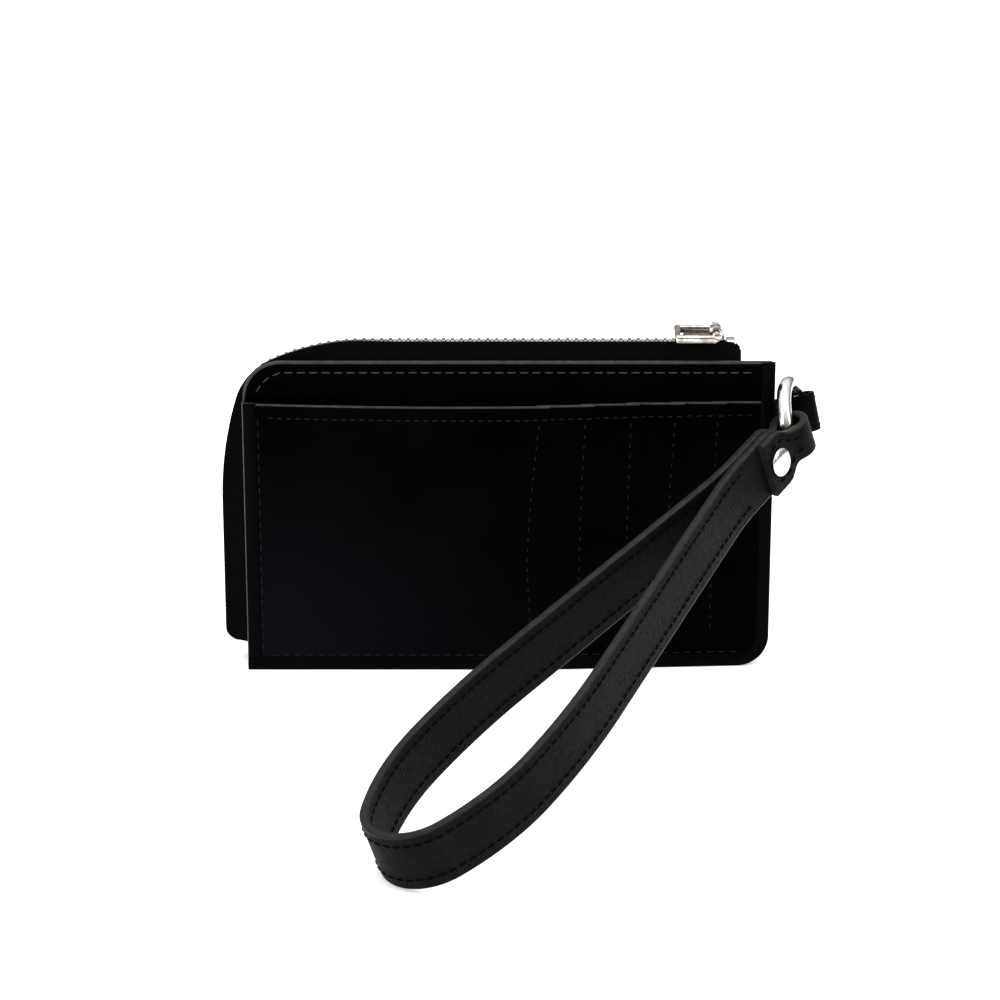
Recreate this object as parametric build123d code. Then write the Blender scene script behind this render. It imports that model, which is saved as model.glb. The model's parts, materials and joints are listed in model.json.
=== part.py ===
from build123d import *
import os
from math import acos, cos, degrees, hypot, radians, sin

# Wristlet wallet standing on its long bottom edge. Millimetres, +X to the right along the
# front, +Y to the back, +Z up. The origin is the middle of the base's underside.

# Wallet body
width = 132.0
height = 80.8
front_face_y = -5.0
panel_thickness = 1.2
stiffener_thickness = 0.6
lining_thickness = 0.4
core_inset = 7.0
lining_inset = 1.6
inner_top_left_radius = 26.0
layer_gap = 0.1
top_left_radius = 9.5
bottom_right_radius = 8.0
small_radius = 1.5
back_top_left_radius = 16.0
back_top_right_radius = 22.0
gusset_thickness = 1.2
gusset_left_inset = 4.0
gusset_right_inset = 9.5
side_gusset_low_z = 9.5
side_gusset_top_gap = 24.0
back_face_y = 5.0
half_width = width / 2

# Card pockets, each ply shorter than the one behind it, all open to the right
ply_thickness = 0.5
ply_pitch = 0.6
pocket_top = 71.2
pocket_edges = [
    # right edge at the top, in the middle and at the bottom
    (10.7, 7.1, 8.9),
    (21.7, 20.2, 20.4),
    (33.0, 32.0, 32.2),
    (44.1, 42.2, 42.0),
    (54.5, 53.4, 53.5),
]
pocket_count = len(pocket_edges)

# Turned-over edge bands that cover the ends of the pocket plies
band_width = 3.4
band_thickness = 0.5
wall_thickness = 0.6
band_tip_x = 10.9

# Zip: its chain runs up the left side, round the corner and along the top
chain_left_x = -70.8
chain_start_z = 7.6
chain_bend_z = 43.2
# the corner bends in three stages: degrees turned and radius
chain_bends = [(16.7, 92.9), (49.0, 15.1), (24.3, 56.5)]
chain_end_x = 57.6
tape_reach = 8.4
tooth_pitch = 2.2
tooth_length = 1.0
tooth_reach = 0.75
tooth_back = 2.0
tooth_half_height = 0.9
last_tooth_x = 51.6
stop_half_height = 0.9
stop_round = 0.4
top_stop_length = 2.5

# Slider at the closed end of the zip; its pull lies round it like a picture frame
slider_left_x = 43.2
slider_right_x = 53.5
slider_half_width = 3.2
slider_plate = 0.8
slider_clearance = 0.2
slider_flange_width = 0.8
slider_flange_drop = 0.7
slider_nose_radius = 2.2
lower_plate = 0.9
lower_half_width = 1.8
neck_half_width = 0.6
neck_gap = 0.8
pivot_x = 51.4
pivot_rise = 0.82
pin_radius = 0.75
bore_radius = 0.83
bail_radius = 1.75
bail_half_width = 1.6
knob_radius = 1.25
pull_left_x = 41.0
pull_half_width = 5.1
pull_bar = 1.4
pull_height = 2.0

# Wrist strap: a two-ply strip, folded into a loop round the ring
strap_width = 15.0
ply_of_strap = 1.0
glue_line = 0.06
strap_thickness = 2 * ply_of_strap + glue_line
stack_gap = 0.1
strand_half_angle = 10.1
strand_length = 68.0
spread_radius = 80.0
bow_radius = 180.0
shoulder_radius = 61.0
shoulder_angle = 26.0
stack_length = 13.2
stack_step = 0.3
flap_length = 8.8
fold_slack = 1.4
fold_inner_radius = 2.8
fold_bend_radius = 8.0
waist_width = 9.0
waist_end = 2.0
waist_taper_end = 7.5
waist_reach = 12.0
rivet_distance = 9.3
rivet_cap_radius = 3.8
rivet_cap_height = 1.1
rivet_post_radius = 1.5
washer_radius = 3.2
washer_thickness = 0.8

# Ring and the tab that holds it
ring_radius = 9.0
wire_radius = 1.8
tab_thickness = 1.0
tab_height = 9.6
tab_inner_radius = 3.1
tab_centre_shift = 0.62
tab_bend_radius = 4.0
tab_root_x = 63.9

# The strap's width leans with this direction, and its loop runs along the other
lean = Vector(-0.297, -0.197, 0.934).normalized()
run_guess = Vector(-0.573, -0.746, -0.339)
run = (run_guess - lean * run_guess.dot(lean)).normalized()
side = lean.cross(run)
hold_x = 69.3
hold_y = -13.5

# The ring's plane holds the strap's lean and the direction from the tab to the ring's front
ring_out = Vector(-0.290, -0.950, 0.120).normalized()
ring_up = (lean - ring_out * lean.dot(ring_out)).normalized()
hold_radial = (ring_out * lean.dot(ring_up) - ring_up * lean.dot(ring_out)).normalized()


def save(node, shape):
    """One node, one file."""
    export_step(shape, f"parts/{node}.step")


def front_plane(y):
    """A drawing plane at depth y, with its own x along +X and its own y along +Z."""
    return Plane(origin=(0, y, 0), x_dir=(1, 0, 0), z_dir=(0, -1, 0))


def outline(inset=0.0, top_left=top_left_radius, top_right=small_radius):
    """The wallet's outline from the front, drawn inset, with four different corners."""
    left = -half_width + inset
    right = half_width - inset
    bottom = inset
    top = height - inset
    radii = [
        max(radius - inset, 0.4)
        for radius in (small_radius, bottom_right_radius, top_right, top_left)
    ]
    low_left, low_right, high_right, high_left = radii
    diagonal = 1 - cos(radians(45))
    edges = [
        Line((left + low_left, bottom), (right - low_right, bottom)),
        ThreePointArc(
            (right - low_right, bottom),
            (right - low_right * diagonal, bottom + low_right * diagonal),
            (right, bottom + low_right),
        ),
        Line((right, bottom + low_right), (right, top - high_right)),
        ThreePointArc(
            (right, top - high_right),
            (right - high_right * diagonal, top - high_right * diagonal),
            (right - high_right, top),
        ),
        Line((right - high_right, top), (left + high_left, top)),
        ThreePointArc(
            (left + high_left, top),
            (left + high_left * diagonal, top - high_left * diagonal),
            (left, top - high_left),
        ),
        Line((left, top - high_left), (left, bottom + low_left)),
        ThreePointArc(
            (left, bottom + low_left),
            (left + low_left * diagonal, bottom + low_left * diagonal),
            (left + low_left, bottom),
        ),
    ]
    return make_face(edges)


def sheet(face, near_y, far_y):
    """A flat layer with this front outline, between two depths."""
    return extrude(front_plane(far_y) * face, amount=far_y - near_y)


def block(low, high):
    """A box between two corners."""
    size = [b - a for a, b in zip(low, high)]
    return Pos(*low) * Box(*size, align=(Align.MIN, Align.MIN, Align.MIN))


def panel_layers():
    """The front and back leather panels with their stiffeners and linings."""
    back_of_front = front_face_y + panel_thickness
    save("front_panel", sheet(outline(), front_face_y, back_of_front))
    back_outline = outline(0, back_top_left_radius, back_top_right_radius)
    save("back_panel", sheet(back_outline, back_face_y - panel_thickness, back_face_y))
    core_near = back_of_front + layer_gap
    core_far = core_near + stiffener_thickness
    lining_near = core_far + layer_gap
    lining_far = lining_near + lining_thickness
    core = outline(core_inset, inner_top_left_radius, back_top_right_radius)
    lining = outline(lining_inset, inner_top_left_radius, back_top_right_radius)
    save("front_stiffener", sheet(core, core_near, core_far))
    save("front_lining", sheet(lining, lining_near, lining_far))
    save("back_stiffener", sheet(core, -core_far, -core_near))
    save("back_lining", sheet(lining, -lining_far, -lining_near))
    return -lining_far - layer_gap


def gussets(inner_half):
    """The strips that close the bottom and the right side between the two linings."""
    base = block(
        (-half_width + gusset_left_inset, -inner_half, 0),
        (half_width - gusset_right_inset, inner_half, gusset_thickness),
    )
    save("base_gusset", base)
    side_strip = block(
        (tab_root_x - gusset_thickness - layer_gap, -inner_half, side_gusset_low_z),
        (tab_root_x - layer_gap, inner_half, height - side_gusset_top_gap),
    )
    save("side_gusset", side_strip)


def pocket_face(top_x, middle_x, bottom_x):
    """A pocket ply's outline, with its open right edge bowed to the left."""
    left = -half_width + wall_thickness + layer_gap
    bottom = wall_thickness + layer_gap
    edges = [
        Line((left, bottom), (bottom_x, bottom)),
        ThreePointArc(
            (bottom_x, bottom), (middle_x, pocket_top * 0.38), (top_x, pocket_top)
        ),
        Line((top_x, pocket_top), (left, pocket_top)),
        Line((left, pocket_top), (left, bottom)),
    ]
    return make_face(edges)


def pockets():
    """The backing sheet and the stepped pocket plies, front ply first."""
    near = front_face_y - ply_pitch + layer_gap / 2
    inside = outline(wall_thickness + layer_gap)
    backing = inside & Pos(0, pocket_top / 2) * Rectangle(2 * width, pocket_top)
    save("pocket_backing", sheet(backing, near, near + ply_thickness))
    for index, edge in enumerate(pocket_edges, start=1):
        face_y = near - ply_pitch * (pocket_count + 1 - index)
        ply = sheet(inside & pocket_face(*edge), face_y, face_y + ply_thickness)
        save(f"card_pocket_{index}", ply)
    return near


def bindings(backing_y):
    """Turned edges over the ply ends: a front band joined to a wall round the rim."""
    deep = backing_y - ply_pitch * pocket_count - layer_gap
    shallow = backing_y - layer_gap
    back = front_face_y - layer_gap / 2
    rim = outline() - outline(wall_thickness)
    band = outline() - outline(band_width)
    split_z = bottom_right_radius + 1.5

    def strip(face, near_y, far_y, low, high):
        window = block((low[0], near_y - 1, low[1]), (high[0], far_y + 1, high[1]))
        return sheet(face, near_y, far_y) & window

    left_low = (-half_width - 1, band_width + layer_gap)
    left_high = (-half_width + band_width, pocket_top)
    left = strip(band, deep - band_thickness, deep, left_low, left_high)
    left += strip(rim, deep, back, left_low, left_high)
    save("binding_left", left)

    right_low = (half_width - band_width, split_z)
    right_high = (half_width + 1, height - small_radius)
    right = strip(band, shallow - band_thickness, shallow, right_low, right_high)
    right += strip(rim, shallow, back, right_low, right_high)
    save("binding_right", right)

    # The bottom band follows the stack of plies as it thins towards the right.
    far_x = pocket_edges[-1][0] + layer_gap
    far_y = backing_y - ply_pitch - layer_gap

    def plan(near_shift, closing_y):
        corners = [
            (-half_width - 1, deep - near_shift),
            (band_tip_x, deep - near_shift),
            (far_x, far_y - near_shift),
            (half_width + 1, shallow - near_shift),
            (half_width + 1, closing_y[2]),
            (far_x, closing_y[1]),
            (band_tip_x, closing_y[0]),
            (-half_width - 1, closing_y[0]),
        ]
        return extrude(make_face(Polyline(*corners, close=True)), amount=split_z)

    # The band's front skin, then the wall behind it.
    skin = plan(band_thickness, (deep, far_y, shallow))
    wall = plan(0, (back, back, back))
    low = (-half_width - 1, 0)
    high = (half_width - band_width, band_width)
    corner = (half_width - bottom_right_radius - 2, 0)
    corner_high = (half_width + 1, split_z - layer_gap)
    reach = (deep - band_thickness - 1, back + 1)
    cover = strip(band, *reach, low, high) + strip(band, *reach, corner, corner_high)
    lip = strip(rim, *reach, low, high) + strip(rim, *reach, corner, corner_high)
    save("binding_bottom", (cover & skin) + (lip & wall))


def chain_path(start_z):
    """The chain's line from start_z up the left side, as (place, tangent's turn, move) stages.

    The turn is measured from straight up towards +X, and the last stage runs to the right.
    """
    here = Vector(chain_left_x, 0, start_z)
    stages = [(here, 0.0, ("run", chain_bend_z - start_z))]
    here = Vector(chain_left_x, 0, chain_bend_z)
    turned = 0.0
    for turn, radius in chain_bends:
        stages.append((here, turned, ("turn", turn, radius)))
        centre = here - chain_outward(turned) * radius
        turned += turn
        here = centre + chain_outward(turned) * radius
    return stages, here


def chain_outward(turned):
    """The direction out of the wallet where the chain has turned this far."""
    return Vector(-cos(radians(turned)), 0, sin(radians(turned)))


def along_chain(points, start_z, end_x):
    """A solid with this section, swept up the left leg, round the corner and along the top.

    Points are (distance outward from the chain's line, distance in front of it).
    """
    section = make_face(Polyline(*points, close=True))
    stages, corner = chain_path(start_z)
    swept = None
    for here, turned, move in stages:
        outward = chain_outward(turned)
        along = Vector(sin(radians(turned)), 0, cos(radians(turned)))
        placed = Plane(origin=here, x_dir=outward, z_dir=along) * section
        if move[0] == "run":
            piece = extrude(placed, amount=move[1])
        else:
            centre = here - outward * move[2]
            piece = revolve(placed, axis=Axis(centre, (0, 1, 0)), revolution_arc=move[1])
        swept = piece if swept is None else swept + piece
    top_leg = Plane(origin=corner, x_dir=(0, 0, 1), z_dir=(1, 0, 0))
    return swept + extrude(top_leg * section, amount=end_x - corner.X)


def zip_tapes():
    """One tape each side: a sloping web outside the panels, and a flange sewn inside."""
    flange_front = -front_face_y - panel_thickness - layer_gap / 2
    flange_back = flange_front - 0.5
    start = tooth_back + layer_gap
    web = [
        (0.2, start),
        (-4.0, flange_front),
        (-tape_reach, flange_front),
        (-tape_reach, flange_back),
        (-4.2, flange_back),
        (-0.6, start),
    ]
    front = along_chain(web, chain_start_z - 2, chain_end_x)
    save("zip_tape_front", front)
    save("zip_tape_back", mirror(front, about=Plane.XZ))


def chain_place(distance):
    """Where the chain's line is, this far from its lower end."""
    stages, corner = chain_path(chain_start_z)
    for here, turned, move in stages:
        length = move[1] if move[0] == "run" else move[2] * radians(move[1])
        if distance < length:
            break
        distance -= length
    else:
        return Pos(corner.X + distance, 0, corner.Z) * Rot(0, 90, 0)
    if move[0] == "run":
        return Pos(here.X, 0, here.Z + distance)
    centre = here - chain_outward(turned) * move[2]
    now = turned + degrees(distance / move[2])
    return Pos(*centre) * Rot(0, now, 0) * Pos(-move[2], 0, 0)


def zip_teeth():
    """Two rows of metal teeth, meshed: each tooth reaches past the middle line."""
    bends = sum(radians(turn) * radius for turn, radius in chain_bends)
    chain_length = chain_bend_z - chain_start_z + bends + last_tooth_x - chain_corner.X
    count = int(chain_length / tooth_pitch)
    depth = tooth_reach + tooth_back
    tooth = Box(2 * tooth_half_height, depth, tooth_length)
    tooth = Pos(0, tooth_reach - depth / 2, 0) * tooth
    other = mirror(tooth, about=Plane.XZ)
    front = []
    back = []
    for index in range(count):
        distance = (index + 0.5) * tooth_pitch
        front.append(chain_place(distance) * tooth)
        back.append(chain_place(distance + tooth_pitch / 2) * other)
    save("zip_teeth_front", Compound(children=front))
    save("zip_teeth_back", Compound(children=back))


def zip_stops():
    """Metal stops crimped at both ends of the chain."""
    low_z = chain_start_z - 2
    high_z = chain_start_z - layer_gap
    bottom = block(
        (chain_left_x - stop_half_height, -tooth_back, low_z),
        (chain_left_x + stop_half_height, tooth_back, high_z),
    )
    save("zip_bottom_stop", fillet(bottom.edges().filter_by(Axis.Y), stop_round))
    left_x = slider_right_x + 0.3
    top = block(
        (left_x, -tooth_back, chain_corner.Z - stop_half_height),
        (left_x + top_stop_length, tooth_back, chain_corner.Z + stop_half_height),
    )
    save("zip_top_stop", fillet(top.edges().filter_by(Axis.Y), stop_round))


def slider():
    """The slider body that straddles the chain, the bail on it, and the pull."""
    plate_low = chain_corner.Z + tooth_half_height + slider_clearance
    plate_high = plate_low + slider_plate
    pivot_z = plate_high + pivot_rise
    middle_x = (slider_left_x + slider_right_x) / 2
    length = slider_right_x - slider_left_x
    body = Pos(middle_x, 0, plate_low) * extrude(
        RectangleRounded(length, 2 * slider_half_width, slider_nose_radius),
        amount=slider_plate,
    )
    for sign in (-1, 1):
        middle_y = sign * (slider_half_width - slider_flange_width / 2)
        size = (length - 2 * slider_nose_radius, slider_flange_width, slider_flange_drop)
        flange = Box(*size, align=(Align.CENTER, Align.CENTER, Align.MIN))
        body += Pos(middle_x, middle_y, plate_low - slider_flange_drop) * flange
    lower_high = chain_corner.Z - tooth_half_height - 2 * slider_clearance
    body += block(
        (slider_left_x + 1, -lower_half_width, lower_high - lower_plate),
        (slider_right_x, lower_half_width, lower_high),
    )
    body += block(
        (last_tooth_x + neck_gap, -neck_half_width, lower_high),
        (slider_right_x - slider_clearance, neck_half_width, plate_low),
    )
    # The bail's bore dips into the plate, so the plate has a shallow groove under the pin.
    groove = Pos(pivot_x, 0, pivot_z) * Rot(90, 0, 0) * Cylinder(bore_radius, 8)
    save("slider_body", body - groove)

    # The bail is a small arch with the hole that the pull's cross bar turns in.
    arch = Plane(
        origin=(pivot_x, bail_half_width, pivot_z), x_dir=(1, 0, 0), z_dir=(0, -1, 0)
    )
    foot = Pos(0, -pivot_rise / 2) * Rectangle(2 * bail_radius, pivot_rise)
    bail = extrude(
        arch * (Circle(bail_radius) + foot - Circle(bore_radius)), amount=2 * bail_half_width
    )
    reach = 2 * bail_radius
    keep = block(
        (pivot_x - reach, -reach, plate_high), (pivot_x + reach, reach, pivot_z + reach)
    )
    save("slider_bail", bail & keep)

    # The pull is a rectangular frame whose right end is a round pin between two knobs.
    low_z = plate_low - layer_gap
    high_z = low_z + pull_height
    frame = block(
        (pull_left_x, -pull_half_width, low_z), (pivot_x, pull_half_width, high_z)
    )
    frame = fillet(frame.edges().filter_by(Axis.Z).sort_by(Axis.X)[:2], 0.8)
    inner_half = pull_half_width - pull_bar
    frame -= block(
        (pull_left_x + pull_bar, -inner_half, low_z - 1), (pivot_x + 1, inner_half, high_z + 1)
    )
    across = Pos(pivot_x, 0, pivot_z) * Rot(90, 0, 0)
    knobs = across * Cylinder(knob_radius, 2 * pull_half_width)
    knobs -= across * Cylinder(knob_radius + 1, 2 * inner_half)
    pin = across * Cylinder(pin_radius, 2 * pull_half_width - pull_bar)
    save("zip_pull", frame + knobs + pin)
    print("pull joint at", Vector(pivot_x, 0, pivot_z))


def ribbon(start, heading, moves, near, far):
    """A flat closed face between two offsets of a path of straight runs and arcs.

    Each move is ("run", length) or ("turn", degrees, radius), and a positive turn is to
    the left. The offsets are measured to the left of the path.
    """
    here = Vector(*start)
    angle = heading
    lower = []
    upper = []

    def shifted(point, direction, offset):
        left = Vector(-sin(radians(direction)), cos(radians(direction)))
        return point + left * offset

    first = [shifted(here, angle, near), shifted(here, angle, far)]
    for move in moves:
        if move[0] == "run":
            step = Vector(cos(radians(angle)), sin(radians(angle))) * move[1]
            there = here + step
            for edges, offset in ((lower, near), (upper, far)):
                edges.append(
                    Line(shifted(here, angle, offset), shifted(there, angle, offset))
                )
            here = there
            continue
        turn, radius = move[1:]
        sign = 1 if turn > 0 else -1
        centre = shifted(here, angle, sign * radius)
        places = [angle, angle + turn / 2, angle + turn]
        for edges, offset in ((lower, near), (upper, far)):
            reach = -sign * (radius - sign * offset)
            edges.append(
                ThreePointArc(*[shifted(centre, place, reach) for place in places])
            )
        angle += turn
        here = shifted(centre, angle, -sign * radius)
    last = [shifted(here, angle, near), shifted(here, angle, far)]
    return make_face([*lower, Line(*last), *upper, Line(*first)])


def closing_angle(wrap_radius, bend_radius, half_gap):
    """How far each side bends out so that the wrap comes back to two close layers."""
    return degrees(acos((bend_radius + half_gap) / (wrap_radius + bend_radius)))


def strap_route():
    """The strip's middle line in the loop's plane, from its hidden end to its flap's end."""
    half = strap_thickness / 2
    layer = half + stack_gap
    wrap_radius = fold_inner_radius + half
    half_gap = (strap_thickness + stack_gap) / 2 + half + stack_gap / 2
    bend = closing_angle(wrap_radius, fold_bend_radius, half_gap)
    bend_length = (wrap_radius + fold_bend_radius) * sin(radians(bend))
    opening = radians(strand_half_angle)
    # Half the loop's width where it is widest, then the radius that closes its end.
    widest = layer + (spread_radius + bow_radius) * (1 - cos(opening))
    widest += strand_length * sin(opening)
    shoulder = radians(shoulder_angle)
    left_over = widest - shoulder_radius * (1 - cos(shoulder))
    end_radius = left_over / cos(shoulder)
    stack_start = bend_length - fold_slack + stack_step
    moves = [
        ("run", stack_length),
        ("turn", strand_half_angle, spread_radius),
        ("run", strand_length),
        ("turn", -strand_half_angle, bow_radius),
        ("turn", -shoulder_angle, shoulder_radius),
        ("turn", -(180 - 2 * shoulder_angle), end_radius),
        ("turn", -shoulder_angle, shoulder_radius),
        ("turn", -strand_half_angle, bow_radius),
        ("run", strand_length),
        ("turn", strand_half_angle, spread_radius),
        ("run", stack_length + stack_step),
        ("turn", bend, fold_bend_radius),
        ("turn", -(180 + 2 * bend), wrap_radius),
        ("turn", bend, fold_bend_radius),
        ("run", flap_length),
    ]
    start = (stack_start, layer)
    end_x = stack_start + stack_length
    end_x += (spread_radius + bow_radius) * sin(opening) + strand_length * cos(opening)
    end_x += shoulder_radius * sin(shoulder) - end_radius * sin(shoulder)
    end_centre = (end_x, 0)
    wrap_y = -layer + half_gap
    return start, moves, end_centre, end_radius, wrap_y


def strap_plane():
    """The loop's plane, placed so that the loop's near end just reaches the floor."""
    end_centre, end_radius, wrap_y = strap_route()[2:]
    outer_radius = end_radius + strap_thickness / 2
    drop = end_centre[0] * run.Z + (end_centre[1] - wrap_y) * side.Z
    drop -= outer_radius * hypot(run.Z, side.Z)
    hold_z = strap_width / 2 * lean.Z - drop
    hold = Vector(hold_x, hold_y, hold_z)
    return hold, Plane(origin=hold - side * wrap_y, x_dir=run, z_dir=lean)


def strap(plane):
    """Two plies of one strip, narrowed where it passes through the ring, and the rivet."""
    start, moves = strap_route()[:2]
    half = strap_thickness / 2
    flap_outer = 2 * strap_thickness + 2.5 * stack_gap
    rivet = plane * Pos(rivet_distance, 0, 0) * Rot(-90, 0, 0)
    hole = rivet * Cylinder(rivet_post_radius + 0.05, 30)
    # The waist is cut in the plane of the strip's length and width.
    flat = Plane(origin=plane.origin, x_dir=plane.x_dir, z_dir=plane.y_dir)
    cuts = []
    for sign in (-1, 1):
        corners = [
            (-waist_reach, sign * waist_width / 2),
            (waist_end, sign * waist_width / 2),
            (waist_taper_end, sign * (strap_width / 2 + 1)),
            (-waist_reach, sign * (strap_width / 2 + 1)),
        ]
        face = make_face(Polyline(*corners, close=True))
        cuts.append(extrude(flat * face, amount=waist_reach, both=True))
    layers = {
        "strap_outer_ply": (half - ply_of_strap, half),
        "strap_inner_ply": (-half, -half + ply_of_strap),
    }
    for node, (near, far) in layers.items():
        face = ribbon(start, 0, moves, near, far)
        ply = extrude(plane * face, amount=strap_width / 2, both=True)
        for cut in [hole, *cuts]:
            ply -= cut
        save(node, ply)
    back_face = strap_thickness + stack_gap
    length = flap_outer + back_face
    cap_height = rivet_cap_height
    seat = flap_outer + layer_gap / 2
    cap = rivet * Pos(0, 0, seat + cap_height / 2) * Cylinder(
        rivet_cap_radius, cap_height
    )
    rim = cap.edges().sort_by_distance(rivet.position + plane.y_dir * 50)[0]
    save("rivet_cap", fillet(rim, cap_height * 0.6))
    post = rivet * Pos(0, 0, (flap_outer - back_face) / 2) * Cylinder(
        rivet_post_radius, length
    )
    washer_middle = -back_face - layer_gap / 2 - washer_thickness / 2
    washer = rivet * Pos(0, 0, washer_middle) * Cylinder(washer_radius, washer_thickness)
    save("rivet_post", post + washer)


def ring_and_tab(hold):
    """The round ring, and the folded leather tab that its back runs through."""
    centre = hold - hold_radial * ring_radius
    ring_plane = Plane(origin=centre, x_dir=ring_out, z_dir=ring_up.cross(ring_out))
    save("ring", ring_plane * Torus(ring_radius, wire_radius))
    pivot = centre - ring_out * ring_radius
    # The curved tube bows forward inside the tab, so the tab's fold is centred on the bow.
    fold = pivot + ring_out * tab_centre_shift
    toward = Vector(tab_root_x, 0, fold.Z) - fold
    toward = toward - ring_up * toward.dot(ring_up)
    length = toward.length
    tab_plane = Plane(origin=fold, x_dir=toward.normalized(), z_dir=ring_up)
    half = tab_thickness / 2
    half_gap = half + stack_gap / 2
    wrap_radius = tab_inner_radius + half
    bend = closing_angle(wrap_radius, tab_bend_radius, half_gap)
    straight = length - (wrap_radius + tab_bend_radius) * sin(radians(bend))
    moves = [
        ("run", straight),
        ("turn", bend, tab_bend_radius),
        ("turn", -(180 + 2 * bend), wrap_radius),
        ("turn", bend, tab_bend_radius),
        ("run", straight),
    ]
    face = ribbon((length, -half_gap), 180, moves, -half, half)
    tab = extrude(tab_plane * face, amount=tab_height / 2, both=True)
    stop = block((tab_root_x, -20, 0), (tab_root_x + 40, 20, 120))
    save("side_tab", tab & stop)
    print("ring joint at", pivot, "axis", ring_up)
    print("strap joint at", hold, "axis", lean)


os.makedirs("parts", exist_ok=True)
chain_corner = chain_path(chain_start_z)[1]
gussets(panel_layers())
bindings(pockets())
zip_tapes()
zip_teeth()
zip_stops()
slider()
hold, loop_plane = strap_plane()
strap(loop_plane)
ring_and_tab(hold)
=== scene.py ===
import json
from math import acos, cos, degrees, pi, radians, sin

import bmesh
import bpy
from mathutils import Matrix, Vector


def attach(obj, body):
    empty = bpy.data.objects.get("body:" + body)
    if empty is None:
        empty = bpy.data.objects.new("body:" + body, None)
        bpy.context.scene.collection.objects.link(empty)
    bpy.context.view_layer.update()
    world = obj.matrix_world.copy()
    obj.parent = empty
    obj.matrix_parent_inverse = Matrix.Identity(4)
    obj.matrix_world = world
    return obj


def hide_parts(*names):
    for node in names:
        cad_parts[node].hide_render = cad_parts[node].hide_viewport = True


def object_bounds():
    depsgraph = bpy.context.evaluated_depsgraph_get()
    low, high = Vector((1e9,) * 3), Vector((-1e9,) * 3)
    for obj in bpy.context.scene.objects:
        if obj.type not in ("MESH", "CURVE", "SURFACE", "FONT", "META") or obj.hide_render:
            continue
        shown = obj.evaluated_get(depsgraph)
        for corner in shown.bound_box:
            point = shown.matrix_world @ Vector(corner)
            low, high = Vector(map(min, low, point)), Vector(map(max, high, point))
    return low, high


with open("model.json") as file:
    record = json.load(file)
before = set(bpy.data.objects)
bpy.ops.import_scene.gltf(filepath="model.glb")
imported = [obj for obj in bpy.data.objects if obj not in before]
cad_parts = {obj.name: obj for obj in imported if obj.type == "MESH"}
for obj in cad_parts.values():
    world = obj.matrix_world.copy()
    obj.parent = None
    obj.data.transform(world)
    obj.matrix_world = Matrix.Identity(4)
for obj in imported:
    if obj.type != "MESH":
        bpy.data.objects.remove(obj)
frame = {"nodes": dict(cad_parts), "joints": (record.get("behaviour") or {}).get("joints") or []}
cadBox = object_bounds()
mm = 0.001
nodes = frame["nodes"]
jointPlaces = {
    joint["name"]: Vector(joint["pos_m"]) for joint in frame["joints"] if "pos_m" in joint
}
jointAxes = {joint["name"]: Vector(joint["axis"]).normalized() for joint in frame["joints"]}
print("frame loaded")


# shader helpers

class Wire:
    # a socket that can be used in Python sums
    def __init__(self, finish, socket):
        self.finish = finish
        self.socket = socket

    def sum(self, operation, first, second):
        return self.finish.node("ShaderNodeMath", {"operation": operation}, {0: first, 1: second})

    def __add__(self, other):
        return self.sum("ADD", self, other)

    __radd__ = __add__

    def __sub__(self, other):
        return self.sum("SUBTRACT", self, other)

    def __rsub__(self, other):
        return self.sum("SUBTRACT", other, self)

    def __mul__(self, other):
        return self.sum("MULTIPLY", self, other)

    __rmul__ = __mul__

    def __truediv__(self, other):
        return self.sum("DIVIDE", self, other)

    def __rtruediv__(self, other):
        return self.sum("DIVIDE", other, self)


class Finish:
    # a material with a Principled shader and one way to add nodes
    def __init__(self, name, **shaderValues):
        self.material = bpy.data.materials.new(name)
        self.material.use_nodes = True
        self.tree = self.material.node_tree
        self.tree.nodes.clear()
        self.output = self.tree.nodes.new("ShaderNodeOutputMaterial")
        self.shader = self.tree.nodes.new("ShaderNodeBsdfPrincipled")
        self.tree.links.new(self.shader.outputs[0], self.output.inputs["Surface"])
        for key, value in shaderValues.items():
            self.shader.inputs[key.replace("_", " ")].default_value = value

    def node(self, kind, settings=None, values=None, out=0):
        made = self.tree.nodes.new(kind)
        for key, value in (settings or {}).items():
            setattr(made, key, value)
        for key, value in (values or {}).items():
            if isinstance(value, Wire):
                self.tree.links.new(value.socket, made.inputs[key])
            else:
                made.inputs[key].default_value = value
        return Wire(self, made.outputs[out])

    def feed(self, name, wire):
        self.tree.links.new(wire.socket, self.shader.inputs[name])

    def place(self, scale=(1, 1, 1), turn=(0, 0, 0)):
        coordinates = self.node("ShaderNodeTexCoord", out="Object")
        return self.node("ShaderNodeMapping", {}, {"Vector": coordinates, "Scale": scale, "Rotation": turn})

    def uv(self):
        return self.node("ShaderNodeUVMap", {"uv_map": "weave"})

    def noise(self, where, scale, detail=3.0, roughness=0.5, distortion=0.0):
        values = {"Vector": where, "Scale": scale, "Detail": detail}
        values.update({"Roughness": roughness, "Distortion": distortion})
        return self.node("ShaderNodeTexNoise", {}, values)

    def cells(self, where, scale, feature):
        return self.node("ShaderNodeTexVoronoi", {"feature": feature}, {"Vector": where, "Scale": scale})

    def remap(self, value, low, high, newLow, newHigh):
        values = {0: value, 1: low, 2: high, 3: newLow, 4: newHigh}
        return self.node("ShaderNodeMapRange", {"clamp": True}, values)

    def blend(self, factor, first, second):
        settings = {"data_type": "RGBA"}
        return self.node("ShaderNodeMix", settings, {0: factor, 6: first, 7: second}, out=2)

    def bump(self, height, strength, distance):
        values = {"Height": height, "Strength": strength, "Distance": distance}
        self.feed("Normal", self.node("ShaderNodeBump", {}, values))


# finishes

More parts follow.
